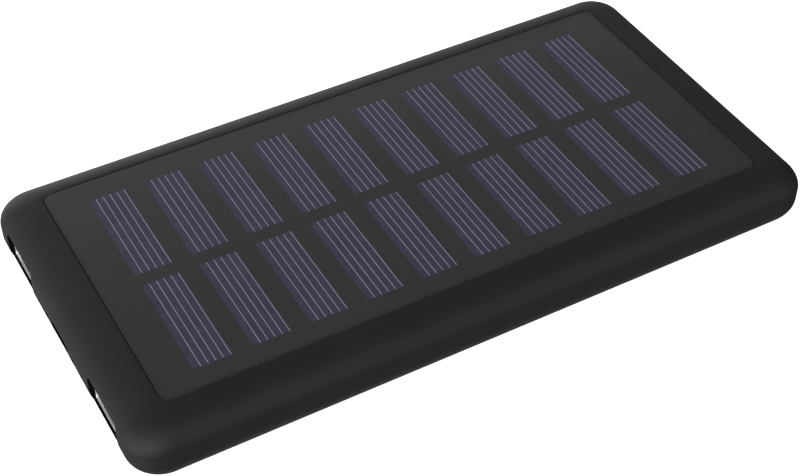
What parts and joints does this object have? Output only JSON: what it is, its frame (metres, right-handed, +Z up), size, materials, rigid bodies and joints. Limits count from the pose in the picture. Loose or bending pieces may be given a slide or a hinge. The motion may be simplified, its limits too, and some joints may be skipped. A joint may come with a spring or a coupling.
{
  "type": "solar phone charger",
  "caption": "Slim slab-shaped power bank with rounded soft-touch edges, a solar panel flush in its top face, charging sockets in one short end and a small power button.",
  "frame": {"origin": "under the middle of the charger, on the surface that it rests on", "axes": "+X along the length, away from the end with the sockets; +Y towards the long side with the power button; +Z up, out of the solar panel"},
  "size_m": [0.144, 0.074, 0.014],
  "materials": {
    "soft_touch_plastic": "fine-grained soft-touch black",
    "clear_film": "clear satin laminate",
    "solar_silicon": "blue-violet silicon with fine silver lines",
    "panel_laminate": "dark grey satin board",
    "circuit_board": "green solder mask",
    "adhesive_foam": "pale double-sided tape",
    "socket_steel": "plated steel",
    "contact_gold": "gold flash",
    "black_insulator": "moulded black",
    "light_guide": "blue-lit clear plastic",
    "led_package": "white chip",
    "battery_foil": "foil pouch",
    "ferrite": "sintered grey",
    "lead_red": "red insulation",
    "lead_black": "black insulation"
  },
  "bodies": {
    "charger_body": {"battery_adhesive": "adhesive_foam", "battery_cell": "battery_foil", "battery_guard_board": "circuit_board", "battery_lead_negative": "lead_black", "battery_lead_positive": "lead_red", "board_screw_back": "socket_steel", "board_screw_front": "socket_steel", "boost_inductor": "ferrite", "charge_controller": "black_insulator", "charge_led_1": "led_package", "charge_led_2": "led_package", "charge_led_3": "led_package", "charge_led_4": "led_package", "light_guide_back": "light_guide", "light_guide_front": "light_guide", "main_board": "circuit_board", "micro_usb_shell": "socket_steel", "micro_usb_tongue": "black_insulator", "panel_adhesive": "adhesive_foam", "panel_board": "panel_laminate", "panel_film": "clear_film", "rear_cover": "soft_touch_plastic", "solar_cell_r1_c01": "solar_silicon", "solar_cell_r1_c02": "solar_silicon", "solar_cell_r1_c03": "solar_silicon", "solar_cell_r1_c04": "solar_silicon", "solar_cell_r1_c05": "solar_silicon", "solar_cell_r1_c06": "solar_silicon", "solar_cell_r1_c07": "solar_silicon", "solar_cell_r1_c08": "solar_silicon", "solar_cell_r1_c09": "solar_silicon", "solar_cell_r1_c10": "solar_silicon", "solar_cell_r2_c01": "solar_silicon", "solar_cell_r2_c02": "solar_silicon", "solar_cell_r2_c03": "solar_silicon", "solar_cell_r2_c04": "solar_silicon", "solar_cell_r2_c05": "solar_silicon", "solar_cell_r2_c06": "solar_silicon", "solar_cell_r2_c07": "solar_silicon", "solar_cell_r2_c08": "solar_silicon", "solar_cell_r2_c09": "solar_silicon", "solar_cell_r2_c10": "solar_silicon", "solar_lead_negative": "lead_black", "solar_lead_positive": "lead_red", "tact_switch": "socket_steel", "upper_casing": "soft_touch_plastic", "usb_a_contact_back_1": "contact_gold", "usb_a_contact_back_2": "contact_gold", "usb_a_contact_back_3": "contact_gold", "usb_a_contact_back_4": "contact_gold", "usb_a_contact_front_1": "contact_gold", "usb_a_contact_front_2": "contact_gold", "usb_a_contact_front_3": "contact_gold", "usb_a_contact_front_4": "contact_gold", "usb_a_shell_back": "socket_steel", "usb_a_shell_front": "socket_steel", "usb_a_tongue_back": "black_insulator", "usb_a_tongue_front": "black_insulator"},
    "button": {"power_button": "soft_touch_plastic", "switch_plunger": "black_insulator"}
  },
  "joints": [
    {"name": "power_button_press", "type": "slide", "parent": "charger_body", "child": "button", "axis": [0, -1, 0], "range_m": [0, 0.0003], "stiffness_N_per_m": 6000}
  ]
}
